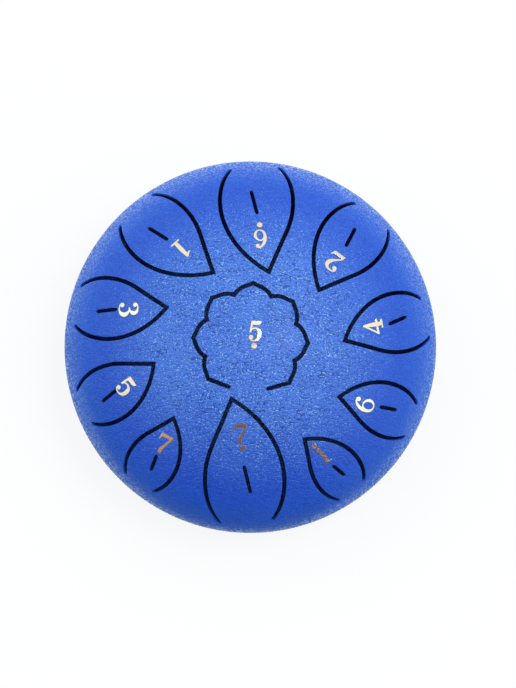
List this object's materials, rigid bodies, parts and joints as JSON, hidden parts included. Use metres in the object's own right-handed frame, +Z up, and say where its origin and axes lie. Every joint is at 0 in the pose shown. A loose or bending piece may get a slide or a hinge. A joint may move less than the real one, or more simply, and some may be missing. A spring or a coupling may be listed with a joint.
{
  "type": "steel tongue drum",
  "caption": "Round blue steel tongue drum: a domed shell with petal tongues and a lotus tongue, gold numerals, welded to a bowl with a sound hole and rubber feet.",
  "frame": {"origin": "on the floor under the drum's axis", "axes": "+Z up along the drum's axis, -Y towards the player, where the low 7 tongue is"},
  "size_m": [0.1554, 0.1554, 0.0872],
  "materials": {
    "blue_paint": "wrinkle paint, satin",
    "gold_foil": "polished foil sticker",
    "black_rubber": "matt moulded rubber",
    "steel": "zinc plated"
  },
  "bodies": {
    "root": {"upper_shell": "blue_paint", "lower_shell": "blue_paint", "seam_weld": "blue_paint", "foot_washers": "steel", "foot_screws": "steel", "foot_nuts": "steel", "rubber_foot_front": "black_rubber", "rubber_foot_right": "black_rubber", "rubber_foot_left": "black_rubber", "note_5_low": "gold_foil", "note_6_low": "gold_foil", "note_7_low": "gold_foil", "note_1": "gold_foil", "note_2": "gold_foil", "note_3": "gold_foil", "note_4": "gold_foil", "note_5": "gold_foil", "note_6": "gold_foil", "note_7": "gold_foil", "note_1_high": "gold_foil"}
  },
  "joints": []
}
